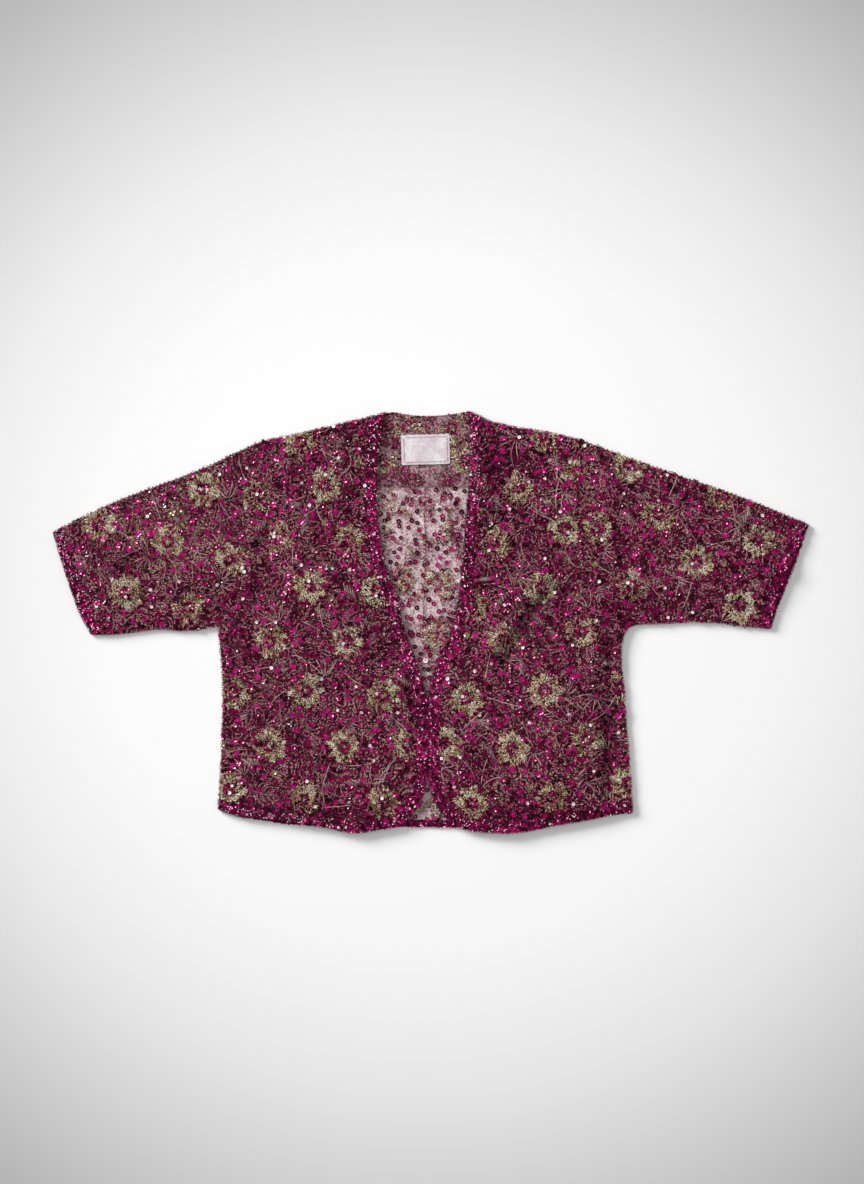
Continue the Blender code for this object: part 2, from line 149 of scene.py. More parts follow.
def new_piece(name, mesh, materials):
    """A shown piece of the jacket, which lies where its mesh does."""
    piece = bpy.data.objects.new(name, mesh)
    bpy.context.scene.collection.objects.link(piece)
    for material in materials:
        mesh.materials.append(material)
    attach(piece, "root")
    return piece


def creased_cloth(node, form, creases, held, material):
    """Cloth on the form of a CAD node, pressed into creases above the height at which it is held."""
    mesh = bpy.data.meshes.new(node + "_cloth")
    form.to_mesh(mesh)
    form.free()
    points = np.empty(len(mesh.vertices) * 3)
    mesh.vertices.foreach_get("co", points)
    points = points.reshape(-1, 3) / MM
    rise = np.zeros(len(points))
    for crease in creases:
        start = np.array([crease.x1, crease.y1])
        run = np.array([crease.x2, crease.y2]) - start
        away = points[:, :2] - start
        share = np.clip(away @ run / (run @ run), 0, 1)
        distance = np.linalg.norm(away - share[:, None] * run, axis=1)
        rise += crease.height * np.exp(-((distance / crease.width) ** 2))
    height = points[:, 2]
    free = np.clip((height - held) / CREASE_EASE, 0, 1)
    points[:, 2] = np.maximum(height + rise * free, np.minimum(height, held + LEAST_RISE))
    mesh.vertices.foreach_set("co", (points * MM).ravel())
    mesh.shade_smooth()
    mesh.set_sharp_from_angle(angle=math.radians(SHARP_ANGLE))
    cloth = new_piece(node + "_cloth", mesh, [material])
    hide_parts(node)
    return cloth


# Each thing on the net is a copy of one small shape. A glass seed bead is a dome of four faces shaded
# round, with a flat seat, a sequin is a ring of film with its rim raised, and a thread is a thin run of
# three sides. They are dropped on the cloth from a height in metres, and those on a steep face are left
# out.
Shape = namedtuple("Shape", "corners faces")
SEQUIN_SIDES = 8
DROP_FROM = 0.1
STEEPEST = 0.2


def bead_shape(length, width, height):
    """A bead lying on its side: a flat four-cornered seat under one peak."""
    corners = [(length, 0, 0), (0, width, 0), (-length, 0, 0), (0, -width, 0), (0, 0, height)]
    faces = [(0, 1, 4), (1, 2, 4), (2, 3, 4), (3, 0, 4), (2, 1, 0), (3, 2, 0)]
    return Shape(np.array(corners, float) / 2, np.array(faces))


def sequin_shape(width, hole, cup, sides=SEQUIN_SIDES):
    """A ring of film whose outer edge stands a little above its hole."""
    angles = np.linspace(0, 2 * math.pi, sides, endpoint=False)
    ring = np.column_stack([np.cos(angles), np.sin(angles)]) / 2
    outer = np.column_stack([ring * width, np.full(sides, cup)])
    inner = np.column_stack([ring * hole, np.zeros(sides)])
    corners = np.vstack([outer, inner])
    after = [(side + 1) % sides for side in range(sides)]
    faces = [(side, after[side], after[side] + sides, side + sides) for side in range(sides)]
    return Shape(corners, np.array(faces))


def tree_of(mesh):
    """What plan spots are dropped on: a mesh's faces."""
    corners = [point.co for point in mesh.vertices]
    return BVHTree.FromPolygons(corners, [face.vertices[:] for face in mesh.polygons])


def dropped(cloth, spots, covers=()):
    """Numbers, places and normals of the plan spots that meet the cloth with nothing over them."""
    numbers, places, normals = [], [], []
    down = Vector((0, 0, -1))
    for number, (x, y) in enumerate(spots):
        above = Vector((x * MM, y * MM, DROP_FROM))
        place, normal, _, _ = cloth.ray_cast(above, down)
        if place is None or normal.z < STEEPEST:
            continue
        if any(cover.ray_cast(above, down)[0] is not None for cover in covers):
            continue
        numbers.append(number)
        places.append(place / MM)
        normals.append(normal)
    return np.array(numbers, int), np.array(places).reshape(-1, 3), np.array(normals).reshape(-1, 3)


def joined(name, shape, places, normals, spins, sizes, tones, materials):
    """One mesh of many copies of a shape, each with its own place, facing, spin, size and tone."""
    up = normals / np.linalg.norm(normals, axis=1, keepdims=True)
    level = np.cross(np.array([0, 1, 0]), up)
    level /= np.linalg.norm(level, axis=1, keepdims=True)
    third = np.cross(up, level)
    turn, lean = np.cos(spins)[:, None], np.sin(spins)[:, None]
    axes = np.stack([turn * level + lean * third, turn * third - lean * level, up], axis=1)
    corners = np.einsum("cj,njk->nck", shape.corners, axes) * sizes[:, None, None] + places[:, None, :]
    starts = np.arange(len(places))[:, None, None] * len(shape.corners)
    faces = (shape.faces[None] + starts).reshape(-1, shape.faces.shape[1])
    mesh = bpy.data.meshes.new(name)
    mesh.from_pydata(corners.reshape(-1, 3) * MM, [], faces)
    mesh.polygons.foreach_set("material_index", np.repeat(tones, len(shape.faces)).astype(np.int32))
    mesh.shade_smooth()
    return new_piece(name, mesh, materials)


def staggered(low, high, pitch, wander, chance):
    """Plan spots in staggered rows a pitch apart, each wandering off by up to a share of the pitch."""
    columns = np.arange(low[0], high[0], pitch)
    rows = np.arange(low[1], high[1], pitch * math.sqrt(0.75))
    spots = np.array([(x + number % 2 * pitch / 2, y) for number, y in enumerate(rows) for x in columns])
    return spots + chance.uniform(-wander, wander, spots.shape) * pitch


def picked(mix, levels):
    """Tone numbers in the shares of a mix, for levels spread evenly from 0 to 1."""
    shares = np.cumsum(mix) / np.sum(mix)
    return np.searchsorted(shares, levels).clip(0, len(mix) - 1)


def ripples(spots, size, layer):
    """Smooth noise of a size in mm at each spot. Each use has a layer of its own, so that none repeats."""
    return np.array([noise.noise(Vector((x, y, layer)) / size) for x, y in spots])


def ranked(values):
    """The values' ranks, as levels spread evenly from 0 to 1."""
    return values.argsort().argsort() / max(len(values), 1)


def tilted(normals, degrees, chance):
    """Facings that lean off the normals at random, as loose sequins do."""
    return normals + chance.normal(0, math.tan(math.radians(degrees)), normals.shape) * (1, 1, 0)


# Glass seed beads are soda-lime glass, drawn, cut and fired smooth: small bright points over a deep body
# colour.
GLASS = {"Roughness": 0.11, "IOR": 1.51}
GLASS_SPECK = 3.0
Mix = namedtuple("Mix", "plum wine rose mauve olive champagne pale")
BEAD_COLOURS = Mix(
    ("#2c0012", "#4a041e"), ("#880a46", "#be1e68"), ("#aa4a6a", "#d6829a"), ("#b67a86", "#e8b6ba"),
    ("#76623e", "#b29c70"), ("#c4ac80", "#f2deb4"), ("#ecdec4", "#fffaec"),
)
BEADS = [
    mottled(f"glass_seed_beads_{tone}", *colours, GLASS_SPECK, GLASS)
    for tone, colours in BEAD_COLOURS._asdict().items()
]

# Sequins are punched from dyed polyester film with a metal flash: mirror-like where one faces the light.
# The pale pink ones have no flash, so they stay milky; set singly and here and there in the bands, they are
# painted glints.
FILM = {"Roughness": 0.25, "Metallic": 0.28, "IOR": 1.64, "Coat Weight": 0.5, "Coat Roughness": 0.12}
FILM_SPECK = 6.0
FilmMix = namedtuple("FilmMix", "magenta wine plum pewter blush")
FILM_COLOURS = FilmMix(
    ("#86084e", "#ca227e"), ("#620638", "#920c4a"), ("#320318", "#520a2a"), ("#75664a", "#a8966e"),
    ("#f0ccda", "#fff4f2"),
)
PALE_GLINT = FilmMix._fields.index("blush")
FILMS = [
    mottled(f"polyester_sequins_{tone}", *colours, FILM_SPECK, FILM)
    for tone, colours in FILM_COLOURS._asdict().items()
]
FILMS[PALE_GLINT].node_tree.nodes["Principled BSDF"].inputs["Metallic"].default_value = 0.0

# Rosettes of eight petals repeat in staggered rows across the net, each petal a fan of champagne beads set
# close in rays, round an eye of sequins. Beads are drawn 3.1 mm long, where the real ones are about 2 mm.
BEAD = bead_shape(3.1, 1.65, 2.6)
BEAD_PITCH = 2.15
BEAD_WANDER = 0.36
BEAD_SWAY = 0.35
BEAD_LIFT = (0.2, 1.0)
BEAD_LEAN = 8
BEAD_SIZES = (0.82, 1.2)
PETALS = 8
PETAL_RING = 15.5
PETAL_LENGTH = 8.2
PETAL_WIDTH = 6.6
PETAL_EDGE = 1.3
PETAL_FRAY = 0.05
PETAL_DRIFT = 15.0
PETAL_BEND = 3.6
DRIFT_LAYERS = (5, 65)
ROSETTE_REACH = 24.0
ROSETTE_TURN = 0.37
ROSETTE_PITCH = 1.8
FADE_SWING = 0.25
FADE_STEP = 2.4
EYE_RING = 7.5
EYE_HEART = 2.6

# Shares of the bead colours in each part of the pattern. The petals wear from bright to faded.
PETAL_HEART = Mix(0.09, 0.03, 0.01, 0.09, 0.26, 0.36, 0.16)
PETAL_BRIGHT = Mix(0.03, 0.0, 0.0, 0.03, 0.10, 0.34, 0.50)
PETAL_RIM = Mix(0.18, 0.08, 0.04, 0.13, 0.34, 0.20, 0.03)
PETAL_FADED = Mix(0.24, 0.16, 0.12, 0.22, 0.20, 0.06, 0.0)
ROSETTE_GROUND = Mix(0.42, 0.34, 0.10, 0.06, 0.08, 0.0, 0.0)
ROSETTE_EYE = Mix(0.28, 0.34, 0.22, 0.12, 0.0, 0.04, 0.0)
WINE_GROUND = Mix(0.33, 0.31, 0.20, 0.14, 0.02, 0.0, 0.0)
DUSTY_GROUND = Mix(0.26, 0.10, 0.21, 0.31, 0.08, 0.04, 0.0)
Wear = namedtuple("Wear", "reach least mix")
PETAL_WEAR = (
    Wear(1.0, -math.inf, PETAL_FADED), Wear(1.0, -0.4, PETAL_RIM), Wear(0.85, -0.1, PETAL_HEART),
    Wear(0.9, 0.36, PETAL_BRIGHT),
)
WEAR_SWING = 1.3
WEAR_LAYER = 90

# The ground between the rosettes changes from wine to dusty in patches. Its beads follow curling lines, and
# their tones come from those lines, from short squiggles and from chance, in these shares.
GROUND_PATCH = 24.0
PATCH_LAYER = 7
PATCH_FRAY = 0.2
DUSTY_ABOVE = 0.05
CLUMPING = 2.6
CLUMP_LAYER = 33
CURL_SIZE = 34.0
CURL_LINES = 7.0
CURL_LAYER = 11 * CURL_SIZE
SQUIGGLE = 3.6
SQUIGGLE_LAYER = 3 * SQUIGGLE
TONE_SHARES = (0.26, 0.50, 0.26)

# Listed patches. Where the depth is positive the colour runs to the dusty tones, as the cloth's own patches
# do; below zero it runs to the dark tones, which paint the shade of folds, hollows and edges turning under;
# two of them darken the hem.
Cast = namedtuple("Cast", "x y width height depth")
DUSTY_AND_SHADE_PATCHES = (
    Cast(96, 222, 62, 34, -0.9), Cast(-94, 222, 50, 34, -0.9), Cast(-250, -22, 30, 44, -0.6),
    Cast(236, -100, 24, 90, -0.7), Cast(-250, -225, 34, 26, -0.6), Cast(-336, 108, 90, 48, 1.0),
    Cast(-458, 96, 26, 30, -0.6), Cast(272, 12, 60, 20, -0.6), Cast(352, 160, 80, 20, -0.4),
    Cast(-46, 12, 20, 40, -0.5), Cast(128, -128, 60, 60, 0.25), Cast(-60, -120, 30, 50, 0.3),
    Cast(50, 80, 12, 90, -1.0), Cast(-140, -250, 110, 12, -1.4), Cast(150, -250, 110, 12, -1.4),
    Cast(-12, -120, 14, 60, -0.4), Cast(-170, 60, 50, 40, 0.2), Cast(86, -18, 12, 24, 0.6),
    Cast(-62, 140, 12, 70, 0.3),
)
DUSTY_SHADE_SHIFT = 0.22

# Loose sequins lie in berries of three to six like ones, in the rosettes' eyes, and singly.
SEQUIN_PILE = (-0.2, 0.5)
SEQUIN_SIZES = (0.88, 1.1)
GROUND_FILM = FilmMix(0.46, 0.36, 0.17, 0.01, 0.0)
EYE_FILM = FilmMix(0.24, 0.42, 0.28, 0.02, 0.04)
# More than half of the single sequins are the pale ones: painted glints.
LONE_FILM = FilmMix(0.40, 0.05, 0.0, 0.0, 0.55)
SITE_WANDER = 0.42
BERRY = (3, 6)
BERRY_RADIUS = 2.2
BERRY_TURN = 0.382
BERRY_SWAY = 0.3
BERRY_CLEAR = 3.0
LONE_PITCH = 40.0
LONE_WANDER = 0.45
EYE_SEQUINS = 7
EYE_SEQUIN_SHARE = 0.75
EYE_WANDER = 0.6
RIM_SLOPE = 0.5
RIM_FOOT = 1.9


def around_rosettes(spots, rosettes):
    """Each spot's distance from its rosette, place along and across a petal, bearing, and rosette's fade."""
    drift = np.column_stack([ripples(spots, PETAL_DRIFT, layer) for layer in DRIFT_LAYERS])
    away = spots[:, None, :] + PETAL_BEND * drift[:, None, :] - np.array(rosettes, float)[None]
    distance = np.linalg.norm(away, axis=2)
    nearest = distance.argmin(1)
    rows = np.arange(len(spots))
    x, y = away[rows, nearest].T
    petal_angle = 2 * math.pi / PETALS
    bearing = np.arctan2(y, x)
    offset = (bearing + nearest * ROSETTE_TURN) % petal_angle - petal_angle / 2
    distance = distance[rows, nearest]
    fade = FADE_SWING * np.cos(FADE_STEP * nearest + len(rosettes))
    return distance, distance * np.cos(offset) - PETAL_RING, distance * np.sin(offset), bearing, fade


def curls(spots):
    """How far each spot is through the nearest curling line, from -1 to 1, and the line's bearing there."""
    here, east, north = (ripples(spots + step, CURL_SIZE, CURL_LAYER) for step in ((0, 0), (1, 0), (0, 1)))
    bearing = np.arctan2(north - here, east - here) + math.pi / 2
    return np.sin(here * CURL_LINES * 2 * math.pi), bearing


def dusty_tone_and_painted_shade(spots):
    """How far the colour runs to the dusty tones over each spot, or, below zero, to the dark tones of
    painted shade.
    """
    table = np.array(DUSTY_AND_SHADE_PATCHES)
    away = (spots[:, None, :] - table[None, :, :2]) / table[None, :, 2:4]
    return DUSTY_SHADE_SHIFT * (np.exp(-(away ** 2).sum(2)) * table[None, :, 4]).sum(1)


def bead_plan(low, high, rosettes, ground_cover, petal_cover, chance):
    """Plan spots of the beads in a box, with a tone and a spin for each."""
    spots = []
    for pitch, on_rosette in ((BEAD_PITCH, False), (ROSETTE_PITCH, True)):
        grid = staggered(low, high, pitch, BEAD_WANDER, chance)
        distance = around_rosettes(grid, rosettes)[0]
        cover = petal_cover if on_rosette else ground_cover
        clumps = ripples(grid, GROUND_PATCH, CLUMP_LAYER) if cover < 1 else 0
        sewn = chance.random(len(grid)) < cover * (1 + CLUMPING * clumps)
        spots.append(grid[((distance < ROSETTE_REACH) == on_rosette) & sewn])
    spots = np.vstack(spots)
    count = len(spots)
    distance, along, across, bearing, fade = around_rosettes(spots, rosettes)
    line, run = curls(spots)
    # Dusty patches of the cloth, and painted shade where the patches go dark.
    dusty_and_shade = dusty_tone_and_painted_shade(spots)
    sources = [line, ripples(spots, SQUIGGLE, SQUIGGLE_LAYER), chance.normal(0, 1, count)]
    levels = (ranked(np.stack(sources, axis=1) @ TONE_SHARES) + dusty_and_shade).clip(0, 0.999)
    petal = np.hypot(along / PETAL_LENGTH, across / PETAL_WIDTH) + chance.normal(0, PETAL_FRAY, count)
    patch = ripples(spots, GROUND_PATCH, PATCH_LAYER) + dusty_and_shade + chance.normal(0, PATCH_FRAY, count)
    tones = np.where(patch > DUSTY_ABOVE, picked(DUSTY_GROUND, levels), picked(WINE_GROUND, levels))
    worn = fade + WEAR_SWING * ripples(spots, PETAL_DRIFT, WEAR_LAYER)
    regions = [((distance < PETAL_RING + PETAL_LENGTH) | (petal < PETAL_EDGE), ROSETTE_GROUND)]
    regions += [((petal < wear.reach) & (worn > wear.least), wear.mix) for wear in PETAL_WEAR]
    regions += [(distance < EYE_RING, ROSETTE_EYE), (distance < EYE_HEART, PETAL_HEART)]
    for region, mix in regions:
        tones = np.where(region, picked(mix, levels), tones)
    spins = np.where(distance < ROSETTE_REACH, bearing, run) + chance.normal(0, BEAD_SWAY, count)
    return spots, tones, spins


def rim(mesh, share, chance):
    """Places and facings on the upright edges of a cloth, which nothing dropped from above can reach."""
    faces = [face for face in mesh.polygons if abs(face.normal.z) < RIM_SLOPE]
    faces = [face for face in faces if face.center.z > RIM_FOOT * MM and chance.random() < share]
    places = np.array([face.center for face in faces]).reshape(-1, 3) / MM
    return places, np.array([face.normal for face in faces]).reshape(-1, 3)


def sewn_beads(panel, cloth, plan, covers, chance, edge=None):
    """Beads of a plan that meet the cloth, and any on its edge, as one piece."""
    spots, tones, spins = plan
    numbers, places, normals = dropped(cloth, spots, covers)
    tones, spins = tones[numbers], spins[numbers]
    if edge:
        places, normals = np.vstack([places, edge[0]]), np.vstack([normals, edge[1]])
        tones = np.append(tones, picked(WINE_GROUND, chance.random(len(edge[0]))))
        spins = np.append(spins, chance.uniform(0, math.pi, len(edge[0])))
    count = len(tones)
    places = places + normals * chance.uniform(*BEAD_LIFT, count)[:, None]
    facing = tilted(normals, BEAD_LEAN, chance)
    sizes = chance.uniform(*BEAD_SIZES, count)
    return joined(f"seed_beads_{panel}", BEAD, places, facing, spins, sizes, tones, BEADS)


def sewn_sequins(panel, cloth, shape, spots, tones, lift, lean, covers, chance, edge=None):
    """Sequins at the plan spots that meet the cloth, and any on its edge, as one piece."""
    numbers, places, normals = dropped(cloth, spots, covers)
    tones = tones[numbers]
    if edge:
        places, normals = np.vstack([places, edge[0]]), np.vstack([normals, edge[1]])
        tones = np.append(tones, picked(GROUND_FILM, chance.random(len(edge[0]))))
    count = len(tones)
    facing = tilted(normals, lean, chance)
    places = places + normals * (lift + chance.uniform(*SEQUIN_PILE, count))[:, None]
    spins = chance.uniform(0, math.pi, count)
    sizes = chance.uniform(*SEQUIN_SIZES, count)
    return joined(f"sequins_{panel}", shape, places, facing, spins, sizes, tones, FILMS)


def sequin_spots(low, high, rosettes, pitch, chance):
    """Spots and tones of the loose sequins: berries on the ground, single ones, and rosette eyes."""
    sites = staggered(low, high, pitch, SITE_WANDER, chance)
    sites = sites[around_rosettes(sites, rosettes)[0] > PETAL_RING + BERRY_CLEAR]
    site_tones = picked(GROUND_FILM, chance.random(len(sites)))
    members = chance.integers(BERRY[0], BERRY[1] + 1, len(sites))
    count = members.sum()
    turns = 2 * math.pi * (np.arange(count) * BERRY_TURN) + chance.normal(0, BERRY_SWAY, count)
    berries = np.column_stack([np.cos(turns), np.sin(turns)]) * BERRY_RADIUS
    berries = berries + np.repeat(sites, members, axis=0)
    lone = staggered(low, high, LONE_PITCH, LONE_WANDER, chance)
    turns = 2 * math.pi * np.arange(EYE_SEQUINS) / EYE_SEQUINS
    ring = np.column_stack([np.cos(turns), np.sin(turns)]) * EYE_RING * EYE_SEQUIN_SHARE
    eyes = (np.array(rosettes, float)[:, None] + ring[None]).reshape(-1, 2)
    eyes = eyes + chance.normal(0, EYE_WANDER, eyes.shape)
    tones = [np.repeat(site_tones, members)]
    tones += [picked(LONE_FILM, chance.random(len(lone))), picked(EYE_FILM, chance.random(len(eyes)))]
    return np.vstack([berries, lone, eyes]), np.concatenate(tones)


TULLE = {"Roughness": 0.7, "IOR": 1.53}
tulle = mottled("nylon_tulle", "#8a5c68", "#dccaca", TULLE_MESH, TULLE, TULLE_RELIEF)
NET_ROSETTES = ((-56, 138), (6, 124), (-47, 60), (10, 49), (12, -17), (-8, -239))
NET_GROUND_COVER = 0.29
NET_PETAL_COVER = 0.8
NET_RING = sequin_shape(6.5, 1.8, 0.2)
NET_RING_PITCH = 12.5
NET_RING_LIFT = 0.8
NET_RING_LEAN = 6
NET_FILM = FilmMix(0.24, 0.38, 0.30, 0.07, 0.01)
SEAM_LINE = ((-9, -40), (-10, 20), (-8, 84), (-7.5, 112), (-8.5, 140), (-8, 176))
SEAM_PITCH = 2.3
SEAM_WANDER = 0.5
NET_SEED = 11
UPPER_LAYER = ("front_left", "front_right", "front_band_left", "front_band_right")
OVER_THE_NET = UPPER_LAYER + ("back_neck_facing", "back_neck_band")
covers = [tree_of(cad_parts[node].data) for node in OVER_THE_NET]

for side, width, length, area in (("left", 0.270, 0.532, 0.122), ("right", 0.267, 0.536, 0.119)):
    chance = np.random.default_rng(NET_SEED + len(side))
    node = "back_" + side
    cloth = creased_cloth(node, flat_form(node, BACK_CELL), NET_CREASES, 0, tulle)
    low, high = (np.array(corner[:2]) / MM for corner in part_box(node))
    surface = tree_of(cloth.data)
    plan = bead_plan(low, high, NET_ROSETTES, NET_GROUND_COVER, NET_PETAL_COVER, chance)
    beads = sewn_beads(node, surface, plan, covers, chance)
    sites = staggered(low, high, NET_RING_PITCH, SITE_WANDER, chance)
    tones = picked(NET_FILM, chance.random(len(sites)))
    rings = sewn_sequins(
        node, surface, NET_RING, sites, tones, NET_RING_LIFT, NET_RING_LEAN, covers, chance,
    )
    trims = [beads, rings]
    if side == "left":
        eastings, northings = zip(*SEAM_LINE)
        rows = np.arange(northings[0], northings[-1], SEAM_PITCH)
        line = np.column_stack([np.interp(rows, northings, eastings), rows])
        line = line + chance.normal(0, SEAM_WANDER, line.shape)
        upright = np.full(len(rows), math.pi / 2)
        plan = line, picked(ROSETTE_EYE, chance.random(len(rows))), upright
        trims.append(sewn_beads("seam_back", surface, plan, covers, chance))


# Back hem band: a strip of close sequins that binds the lower edge of the back. It shows where the fronts'
# corners curve apart and where the left front rides up. Its ground is wine georgette, a matt crepe that
# lies nearly black between the sequins, as it does under the fronts and sleeves.
BAND_PITCH = 2.3
BAND_WANDER = 0.3
BAND_GRAIN = 7.0
BAND_LOOSE = 0.32
BAND_LIFT = 0.7
BAND_LEAN = 12
HEM_SEED = 21
BAND_SEQUIN = sequin_shape(3.2, 1.0, 0.35)
BAND_PAINTED_GLINTS = 0.012
BAND_RIM_SHARE = 0.6
BAND_FILM = FilmMix(0.36, 0.36, 0.28, 0.0, 0.0)
BAND_LAYER = 3 * BAND_GRAIN
CREPE = {"Roughness": 0.75, "IOR": 1.53, "Sheen Weight": 0.2}
georgette = mottled("wine_georgette", "#2a0a18", "#4a1029", 1.5, CREPE, 0.3)


def sequinned_band(node, form, creases, held, covers, seed):
    """A band of cloth paved with sequins that lap over each other."""
    chance = np.random.default_rng(seed)
    cloth = creased_cloth(node, form, creases, held, georgette)
    low, high = (np.array(corner[:2]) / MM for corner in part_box(node))
    spots = staggered(low, high, BAND_PITCH, BAND_WANDER, chance)
    waves = ripples(spots, BAND_GRAIN, BAND_LAYER) + chance.normal(0, BAND_LOOSE, len(spots))
    # Where the patches paint shade, the sequins run to the darker film too.
    levels = ranked(waves) - dusty_tone_and_painted_shade(spots)
    tones = picked(BAND_FILM, levels.clip(0, 0.999))
    # Painted glints: a few pale sequins, at random, stand for sequins that catch the light.
    tones[chance.random(len(tones)) < BAND_PAINTED_GLINTS] = PALE_GLINT
    edge = rim(cloth.data, BAND_RIM_SHARE, chance)
    surface = tree_of(cloth.data)
    sequins = sewn_sequins(
        node, surface, BAND_SEQUIN, spots, tones, BAND_LIFT, BAND_LEAN, covers, chance, edge,
    )
    return cloth, [sequins]


covers = [tree_of(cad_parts[node].data) for node in UPPER_LAYER]
form = flat_form("back_hem_band", BACK_CELL)
cloth, trims = sequinned_band("back_hem_band", form, (), 0, covers, HEM_SEED)


# Back neck: a facing of beaded net inside the neck, and a folded band that binds its edge. Both are the
# jacket's own embroidered cloth, so beads and sequins cover them. The net is doubled there, which makes it
# darker than the back, and the seam along its lower edge is darker still.
FACING_CREASES = (
    Crease(-6, 200, -6, 178, 4, 0.7), Crease(-80, 200, -52, 184, 7, 0.7), Crease(22, 190, 44, 214, 7, 0.7),
)
FACING_CELL = 6.0
FACING_SEAM = 193.0
FACING_BERRY_PITCH = 27.0
FACING_PETAL_COVER = 0.9
FACING_LIFT = 1.2
FACING_LEAN = 10
PLAN_MARGIN = 1.0
DOUBLED_NET = {"Roughness": 0.7, "IOR": 1.53}
NECK_ROSETTES = ((-62, 212), (44, 210), (-30, 254), (28, 252))
doubled_net = mottled("beaded_net_facing", "#4a2029", "#b08a92", 3.2, DOUBLED_NET, TULLE_RELIEF, 5.0)

for node, creases, flat, area, ground_cover, seed in (
    ("back_neck_facing", FACING_CREASES, (0.152, 0.088), 0.0130, 0.9, 31),
    ("back_neck_band", (), (0.112, 0.0118), None, 0.95, 32),
):
    chance = np.random.default_rng(seed)
    cloth = creased_cloth(node, flat_form(node, FACING_CELL), creases, 0, doubled_net)
    surface = tree_of(cloth.data)
    low, high = (np.array(corner[:2]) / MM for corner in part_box(node))
    over = covers + [tree_of(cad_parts["label"].data)]
    spots, tones, spins = bead_plan(
        low - PLAN_MARGIN, high + PLAN_MARGIN, NECK_ROSETTES, ground_cover, FACING_PETAL_COVER, chance,
    )
    tones = np.where(spots[:, 1] < FACING_SEAM, picked(ROSETTE_GROUND, chance.random(len(spots))), tones)
    beads = sewn_beads(node, surface, (spots, tones, spins), over, chance)
    spots, tones = sequin_spots(low, high, NECK_ROSETTES, FACING_BERRY_PITCH, chance)
    sequins = sewn_sequins(
        node, surface, BAND_SEQUIN, spots, tones, FACING_LIFT, FACING_LEAN, over, chance,
    )


# Label: a small woven polyester rectangle, left bare, hemmed all round and sewn down with a thin pink
# thread. Its satin face is smooth and pale, with a soft sheen and hardly any shine.
LABEL_CENTRE = (-7.2, 224.3)
LABEL_HALF = (31.5, 19.5)
LABEL_TURN = 1.6
LABEL_CELL = 5.0
LABEL_HELD = 4.4
LABEL_CREASES = (Crease(-8, 240, -7, 208, 2.2, 0.3),)
STITCH_INSET = 3.4
STITCH_PITCH = 3.0
STITCH_START = 0.6
STITCH_SHARE = 0.8
STITCH_STEPS = (0, 0.3, 0.7, 1)
STITCH_LIFT = 0.2
STITCH_RADIUS = 0.6
THREAD_SIDE = 0.87
SATIN = {"Roughness": 0.62, "Sheen Weight": 0.25}
SEWING_THREAD = {"Roughness": 0.5, "Sheen Weight": 0.3}
satin = mottled("polyester_satin_label", "#bcaab2", "#ece6e8", 0.9, SATIN, 0.15, 14)
stitching = mottled("polyester_sewing_thread", "#8c3e64", "#b4648a", 2.0, SEWING_THREAD)
form = flat_form("label", LABEL_CELL)
label = creased_cloth("label", form, LABEL_CREASES, LABEL_HELD, satin)


def thread_faces(base, rings):
    """Faces of a three-sided thread with a number of rings between its two points."""
    inner = [[base + 1 + 3 * ring + turn for turn in range(3)] for ring in range(rings)]
    rows = [[base] * 3] + inner + [[base + 1 + 3 * rings] * 3]
    faces = []
    for here, there in zip(rows, rows[1:]):
        for turn in range(3):
            after = (turn + 1) % 3
            faces.append(list(dict.fromkeys((here[turn], here[after], there[after], there[turn]))))
    return faces


def laid_threads(name, lines, surface, lift, radius, tones, materials):
    """Threads that follow plan lines over the cloth, three-sided and drawn to a point at both ends."""
    corners, faces, numbers = [], [], []
    lengths = [len(line) for line in lines]
    kept, places, normals = dropped(surface, np.vstack(lines))
    ends = np.cumsum(lengths)
    for tone, first, last in zip(tones, ends - lengths, ends):
        start = np.searchsorted(kept, first)
        rows = slice(start, start + last - first)
        if not np.array_equal(kept[rows], np.arange(first, last)):
            continue
        up = normals[rows]
        line = places[rows] + up * lift
        aside = np.cross(np.gradient(line, axis=0), up)
        aside *= THREAD_SIDE / np.linalg.norm(aside, axis=1, keepdims=True)
        made = thread_faces(len(corners), len(line) - 2)
        corners.append(line[0])
        for middle, out, rise in zip(line[1:-1], aside[1:-1], up[1:-1]):
            foot = middle - rise * radius / 2
            corners += [middle + rise * radius, foot + out * radius, foot - out * radius]
        corners.append(line[-1])
        faces += made
        numbers += [tone] * len(made)
    mesh = bpy.data.meshes.new(name)
    mesh.from_pydata(np.array(corners) * MM, [], faces)
    mesh.polygons.foreach_set("material_index", np.array(numbers, np.int32))
    mesh.shade_smooth()
    return new_piece(name, mesh, materials)


def towards(bearing):
    """One step in plan in a bearing."""
    return np.array([math.cos(bearing), math.sin(bearing)])


centre = np.array(LABEL_CENTRE)
half = np.array(LABEL_HALF) - STITCH_INSET
along = towards(math.radians(LABEL_TURN))
upward = np.array([-along[1], along[0]])
stitches = []
for across, rise, step, run in (
    (-1, -1, along, half[0]), (1, -1, upward, half[1]), (1, 1, -along, half[0]), (-1, 1, -upward, half[1]),
):
    corner = centre + across * half[0] * along + rise * half[1] * upward
    for place in np.arange(STITCH_START, 2 * run - STITCH_PITCH, STITCH_PITCH):
        reach = STITCH_PITCH * STITCH_SHARE
        stitches.append(np.array([corner + step * (place + share * reach) for share in STITCH_STEPS]))
seam = laid_threads(
    "stitching_label", stitches, tree_of(label.data), STITCH_LIFT, STITCH_RADIUS, [0] * len(stitches),
    [stitching],
)


